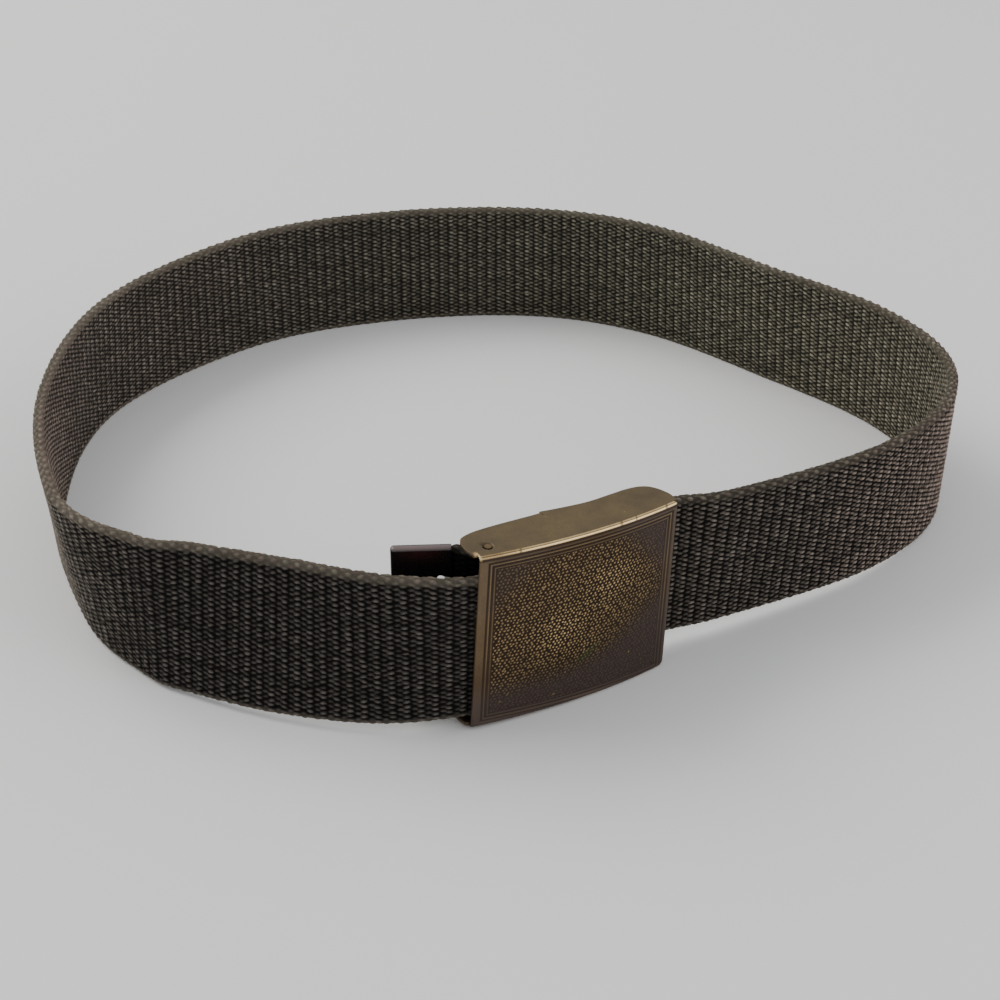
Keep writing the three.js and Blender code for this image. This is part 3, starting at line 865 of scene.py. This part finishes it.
def webbing_material(settings, yarn):
    """Canvas: painted shade in the near-black valleys, worn grey-brown crowns, browner bends, greener back
    and edges. Two ramps along the belt colour its outer and its inner side, with painted shade on the
    near-left strand and in the buckle, and the relief paints light on the crowns and shade in the valleys."""
    material, n, shader = new_material("Webbing canvas")
    place = n.attribute("place", "Vector")
    relief, tone, selvedge, white_speck = map(n.attribute, ("relief", "tone", "selvedge", "white_speck"))
    cotton = n.texture(yarn, place)
    parts = n.add("ShaderNodeSeparateXYZ", {0: place})
    length = n.math("DIVIDE", parts.outputs[0], WEB_LENGTH)
    # The dark stops paint shade on the near-left strand, which faces away from the light, and at the ends,
    # which lie in the buckle; the near-black stop at 0.97 paints the shade inside the buckle box.
    dark = tint(104, 98, 92)
    outside = n.ramp(
        length,
        (
            (0.0, dark),
            (0.12, dark),
            (0.18, tint(164, 154, 140)),
            (0.5, tint(132, 129, 108)),
            (0.66, tint(202, 176, 160)),
            (0.76, tint(214, 188, 171)),
            (0.86, tint(140, 129, 118)),
            (0.955, tint(126, 116, 106)),
            (0.97, tint(36, 33, 32)),
        ),
    )
    inside = n.ramp(
        length,
        (
            (0.0, dark),
            (0.12, tint(146, 134, 114)),
            (0.2, tint(186, 162, 148)),
            (0.3, tint(166, 152, 139)),
            (0.45, tint(146, 139, 124)),
            (0.6, tint(176, 171, 148)),
            (0.72, tint(192, 184, 160)),
            (1.0, dark),
        ),
    )
    side = n.spread(parts.outputs[2], -0.3, 0.3)
    zone = n.mix(side, inside, outside)
    loops = n.ramp(
        n.noise(place, 1.1, 2.0),
        (
            (0.35, tint(122, 117, 94)),
            (0.5, settings.yarn_colour),
            (0.65, tint(126, 106, 95)),
        ),
    )
    zone = n.mix(n.times(selvedge, 0.6), zone, loops)
    # The relief paints light on the crowns and shade in the valleys, down to the valley shade colour.
    lit = n.math("POWER", n.spread(relief, 0.3, 0.95), 1.6)
    lit = n.times(lit, n.spread(tone, 0.0, 1.0, 0.75, 1.35))
    lit = n.times(lit, n.spread(side, 0.0, 1.0, 0.84, 1.0))
    lit = n.plus(lit, n.spread(side, 0.0, 1.0, 0.05, 0.0))
    lit = n.times(lit, n.spread(selvedge, 0.0, 1.0, 1.0, 0.6))
    lit = n.plus(lit, n.times(selvedge, n.spread(length, 0.3, 0.8, 0.42, 0.2)))
    lit = n.times(lit, n.spread(cotton["Fuzz"], 0.25, 0.75, 0.6, 1.35))
    lit = n.times(lit, n.spread(cotton["Patches"], 0.3, 0.7, 0.84, 1.1))
    colour = n.mix(lit, settings.valley_shade_colour, zone)
    # A small raised speck on the upper selvedge is coloured near-white.
    colour = n.mix(n.spread(white_speck, 0.3, 0.6), colour, tint(236, 234, 230))
    n.join(colour, shader.inputs["Base Color"])
    n.join(n.spread(cotton["Fuzz"], 0.3, 0.7, 0.78, 0.96), shader.inputs["Roughness"])
    shader.inputs["Specular IOR Level"].default_value = 0.12
    n.bump(shader, 0.6, 0.00012, n.plus(n.times(cotton["Strands"], 0.35), cotton["Fuzz"]))
    return material


def cover_material(settings, patina):
    """Antique brass: dark brown in the hollows with painted shade in the pin hole and under the upper fold,
    gold where it is rubbed with a painted reflection along the face's diagonal, a painted highlight along the
    upper fold, satin flanges, a green smear.
    """
    material, n, shader = new_material("Cover brass")
    place = n.attribute("place", "Vector")
    rub, dirt_and_shade, flange, gold = map(n.attribute, ("rub", "dirt_and_shade", "flange", "gold"))
    metal = n.texture(patina, place)
    # Wear, the painted highlight on the upper fold and the painted reflection on the face brighten the brass.
    worn_and_lit = n.times(rub, n.spread(metal["Grain"], 0.3, 0.7, 0.72, 1.12))
    worn_and_lit = n.times(worn_and_lit, n.spread(metal["Blotch"], 0.0, 1.0, 0.8, 1.08))
    satin = n.mix(metal["Blotch"], tint(112, 98, 76), tint(132, 116, 86))
    satin = n.mix(n.spread(metal["Grain"], 0.35, 0.65, 0.0, 0.35), satin, tint(96, 82, 64))
    # The gold share, partly painted reflection, brings in the patina colour.
    ground = n.mix(n.spread(gold, 0.0, 0.45), tint(92, 79, 73), settings.patina_colour)
    ground = n.mix(flange, ground, satin)
    colour = n.ramp(
        n.times(worn_and_lit, 0.667),
        (
            (0.0, tint(104, 88, 70)),
            (0.2, tint(136, 116, 84)),
            (0.42, tint(178, 150, 104)),
            (0.68, settings.brass_colour),
            (0.95, tint(255, 226, 172)),
        ),
    )
    colour = n.mix(n.spread(worn_and_lit, 0.05, 0.35), ground, colour)
    # Darkened by dirt in the hollows and by painted shade in the pin hole and under the upper fold.
    colour = n.mix(n.times(dirt_and_shade, 0.75), colour, tint(34, 26, 22))
    from_smear = n.vector("SUBTRACT", place, SMEAR_PLACE)[0]
    away = 0.0
    for direction, half in SMEAR_AXES:
        reach = n.math("DIVIDE", n.vector("DOT_PRODUCT", from_smear, direction)["Value"], half)
        away = n.plus(n.times(reach, reach), away)
    green = n.times(n.spread(away, 1.0, 0.0, 0.0, 0.5), n.math("SUBTRACT", 1.0, flange))
    n.join(n.mix(green, colour, tint(58, 74, 44)), shader.inputs["Base Color"])
    shader.inputs["Metallic"].default_value = 0.9
    rough = n.spread(worn_and_lit, 0.0, 1.0, 0.52, 0.3)
    n.join(n.plus(rough, n.times(metal["Grain"], 0.12)), shader.inputs["Roughness"])
    n.bump(shader, 0.25, 0.00005, metal["Grain"])
    return material


def plain_metal(name, patina, dark, light, roughness):
    """A dull plated metal that follows the object's own coordinates."""
    material, n, shader = new_material(name)
    metal = n.texture(patina, n.own_place())
    tone = n.times(metal["Blotch"], n.spread(metal["Grain"], 0.3, 0.7, 0.6, 1.1))
    n.join(n.mix(tone, dark, light), shader.inputs["Base Color"])
    shader.inputs["Metallic"].default_value = 0.9
    rough = n.spread(metal["Grain"], 0.3, 0.7, roughness - 0.06, roughness + 0.1)
    n.join(rough, shader.inputs["Roughness"])
    n.bump(shader, 0.2, 0.00005, metal["Grain"])
    return material


def tip_material(settings, patina):
    """Black lacquer, glossy, with a painted grey highlight along its upper edge and a painted red-brown
    reflection below it.
    """
    material, n, shader = new_material("Tip lacquer")
    metal = n.texture(patina, n.own_place())
    edge_highlight = n.times(n.attribute("edge_highlight"), n.spread(metal["Grain"], 0.3, 0.7, 0.75, 1.0))
    # Painted red-brown reflection, then the painted grey highlight along the upper edge.
    colour = n.mix(n.attribute("painted_reflection"), settings.lacquer_colour, tint(58, 30, 30))
    n.join(n.mix(edge_highlight, colour, tint(122, 104, 100)), shader.inputs["Base Color"])
    n.join(n.spread(metal["Grain"], 0.3, 0.7, 0.16, 0.3), shader.inputs["Roughness"])
    shader.inputs["Coat Weight"].default_value = 0.6
    shader.inputs["Coat Roughness"].default_value = 0.12
    n.bump(shader, 0.12, 0.00008, metal["Blotch"])
    return material


# Settings


class WebbingSettings(bpy.types.PropertyGroup):
    """Sizes and colours of the webbing."""

    column_pitch: FloatProperty(
        name="Column pitch", description="Length of one weave column along the belt, mm", default=1.58
    )
    row_pitch: FloatProperty(
        name="Row pitch", description="Width of one weave row across the belt, mm", default=1.33
    )
    weave_depth: FloatProperty(
        name="Weave depth", description="Depth of the valleys below the crowns, mm", default=0.6
    )
    crown_rise: FloatProperty(
        name="Crown rise", description="How far the crowns stand proud of the plain strap, mm", default=0.25
    )
    loop_rise: FloatProperty(
        name="Loop rise", description="How far the upper selvedge's loops stand up, mm", default=0.45
    )
    edge_radius: FloatProperty(
        name="Edge radius", description="Rounding of the selvedges, mm", default=0.85
    )
    yarn_colour: FloatVectorProperty(
        name="Yarn", description="Faded cotton of the selvedges", subtype="COLOR", default=tint(128, 120, 104)
    )
    # The valley colour is painted shade between the floats.
    valley_shade_colour: FloatVectorProperty(
        name="Valleys", description="Shaded cotton between floats", subtype="COLOR", default=tint(15, 13, 11)
    )


class BuckleSettings(bpy.types.PropertyGroup):
    """Sizes and colours of the buckle."""

    fold_radius: FloatProperty(
        name="Fold radius", description="Outer radius where the face turns into a flange, mm", default=1.0
    )
    pebble_pitch: FloatProperty(
        name="Pebble pitch", description="Distance between pebbles of the field, mm", default=0.95
    )
    pebble_height: FloatProperty(
        name="Pebble height", description="How far the pebbles stand up, mm", default=0.16
    )
    brass_colour: FloatVectorProperty(
        name="Rubbed brass", description="Bright metal on worn edges", subtype="COLOR",
        default=tint(226, 195, 142),
    )
    patina_colour: FloatVectorProperty(
        name="Patina", description="Dark brown of the untouched metal", subtype="COLOR",
        default=tint(84, 66, 50),
    )


class TipSettings(bpy.types.PropertyGroup):
    """Colours of the metal tip."""

    lacquer_colour: FloatVectorProperty(
        name="Lacquer", description="Black lacquer", subtype="COLOR", default=tint(26, 22, 21)
    )


class StageSettings(bpy.types.PropertyGroup):
    """Floor, light and camera."""

    floor_colour: FloatVectorProperty(
        name="Floor", description="Plain pale floor", subtype="COLOR", default=tint(250, 249, 246)
    )
    light_power: FloatProperty(
        name="Light power", description="Power of the large soft light", default=18.5, unit="POWER"
    )
    sky_strength: FloatProperty(
        name="Sky strength", description="Brightness of the even light from all round", default=0.62
    )
    lens: FloatProperty(name="Lens", description="Focal length of the camera, mm", default=67.25)


# Operators


class BELT_OT_webbing(bpy.types.Operator):
    """Build the woven webbing in five runs"""

    bl_idname = "belt.webbing"
    bl_label = "Webbing"

    def execute(self, context):
        settings = context.scene.belt_webbing
        build_webbing(settings, webbing_material(settings, yarn_group()))
        return {"FINISHED"}


class BELT_OT_cover(bpy.types.Operator):
    """Build the buckle's pebbled cover"""

    bl_idname = "belt.cover"
    bl_label = "Buckle cover"

    def execute(self, context):
        settings = context.scene.belt_buckle
        build_cover(settings, cover_material(settings, shared_patina()))
        return {"FINISHED"}


class BELT_OT_fittings(bpy.types.Operator):
    """Finish the inner frame, the clamp plate and the hinge pins"""

    bl_idname = "belt.fittings"
    bl_label = "Inner fittings"

    def execute(self, context):
        patina = shared_patina()
        dull_brass = plain_metal("Frame brass", patina, tint(58, 45, 34), tint(128, 104, 70), 0.45)
        steel = plain_metal("Clamp steel", patina, tint(60, 57, 54), tint(140, 136, 130), 0.42)
        pin_brass = plain_metal("Pin brass", patina, tint(104, 86, 62), tint(168, 144, 106), 0.4)
        finishes = {
            "inner_frame": dull_brass,
            "end_clamp": steel,
            "hinge_pin_top": pin_brass,
            "hinge_pin_bottom": pin_brass,
        }
        for name, material in finishes.items():
            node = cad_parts[name]
            node.data.materials.clear()
            node.data.materials.append(material)
        return {"FINISHED"}


class BELT_OT_tip(bpy.types.Operator):
    """Build the lacquered metal tip of the free end"""

    bl_idname = "belt.tip"
    bl_label = "Tip"

    def execute(self, context):
        build_tip(tip_material(context.scene.belt_tip, shared_patina()))
        return {"FINISHED"}


class BELT_OT_stage(bpy.types.Operator):
    """Lay the floor, hang the lights and place the camera"""

    bl_idname = "belt.stage"
    bl_label = "Floor, lights and camera"

    def execute(self, context):
        build_stage(context.scene.belt_stage)
        return {"FINISHED"}


def shared_patina():
    """The metal group, built once."""
    return bpy.data.node_groups.get("Handled metal") or patina_group()


def area_light(name, place, target, size, power, colour):
    """A soft square light that looks at a target."""
    data = bpy.data.lights.new(name, "AREA")
    data.shape = "RECTANGLE"
    data.size, data.size_y = size
    data.energy = power
    data.color = colour
    lamp = bpy.data.objects.new(name, data)
    bpy.context.scene.collection.objects.link(lamp)
    away = np.array(target) - np.array(place)
    distance = float(np.linalg.norm(away))
    lamp.location = place
    lamp.rotation_euler = (
        math.acos(float(-away[2]) / distance),
        0,
        math.atan2(float(away[1]), float(away[0])) - math.pi / 2,
    )


def build_stage(settings):
    """The pale floor, a large soft light above the back, a weak one from the front, and the camera."""
    material, n, shader = new_material("Pale floor")
    mottle = n.noise(n.add("ShaderNodeTexCoord").outputs["Object"], 3.0, 3.0)
    lighter = tuple(min(1.0, part * 1.04) for part in settings.floor_colour)
    n.join(n.mix(mottle, settings.floor_colour, lighter), shader.inputs["Base Color"])
    shader.inputs["Roughness"].default_value = 0.75
    points = FLOOR_HALF * np.array(((-1, -1, 0), (1, -1, 0), (1, 1, 0), (-1, 1, 0)))
    quad, no_triangles = np.array(((0, 1, 2, 3),)), np.zeros((0, 3), int)
    floor = piece("floor", points, quad, no_triangles, material, lambda place: place)

    for name, place, target, size, share, colour in LIGHTS:
        area_light(name, place, target, size, settings.light_power * share, colour)

    world = bpy.data.worlds.new("Soft daylight")
    bpy.context.scene.world = world
    world.use_nodes = True
    background = world.node_tree.nodes["Background"]
    background.inputs[0].default_value = (*SKY_COLOUR, 1)
    background.inputs[1].default_value = settings.sky_strength

    data = bpy.data.cameras.new("Camera")
    data.lens = settings.lens
    data.sensor_width = 36
    data.clip_start = 0.01
    data.clip_end = 50
    camera = bpy.data.objects.new("Camera", data)
    camera.location = CAMERA_PLACE
    camera.rotation_euler = CAMERA_TURN
    bpy.context.scene.collection.objects.link(camera)
    bpy.context.scene.camera = camera


class VIEW3D_PT_belt(bpy.types.Panel):
    """Lists the belt's settings and build steps"""

    bl_label = "Canvas web belt"
    bl_space_type = "VIEW_3D"
    bl_region_type = "UI"
    bl_category = "Belt"

    def draw(self, context):
        for settings in ("belt_webbing", "belt_buckle", "belt_tip", "belt_stage"):
            box = self.layout.box()
            holder = getattr(context.scene, settings)
            for key in holder.bl_rna.properties.keys():
                if key not in {"rna_type", "name"}:
                    box.prop(holder, key)
        for operator in OPERATORS:
            self.layout.operator(operator.bl_idname)


SETTINGS = {
    "belt_webbing": WebbingSettings,
    "belt_buckle": BuckleSettings,
    "belt_tip": TipSettings,
    "belt_stage": StageSettings,
}
OPERATORS = (BELT_OT_webbing, BELT_OT_cover, BELT_OT_fittings, BELT_OT_tip, BELT_OT_stage)


def register():
    """Registers the settings, the operators and the panel."""
    for name, kind in SETTINGS.items():
        bpy.utils.register_class(kind)
        setattr(bpy.types.Scene, name, PointerProperty(type=kind))
    for kind in (*OPERATORS, VIEW3D_PT_belt):
        bpy.utils.register_class(kind)


def unregister():
    """Removes what register added."""
    for kind in (VIEW3D_PT_belt, *reversed(OPERATORS)):
        bpy.utils.unregister_class(kind)
    for name, kind in reversed(SETTINGS.items()):
        delattr(bpy.types.Scene, name)
        bpy.utils.unregister_class(kind)


def main():
    """Builds everything in order."""
    register()
    bpy.ops.belt.webbing()
    bpy.ops.belt.cover()
    bpy.ops.belt.fittings()
    bpy.ops.belt.tip()
    bpy.ops.belt.stage()


if __name__ == "__main__":
    main()
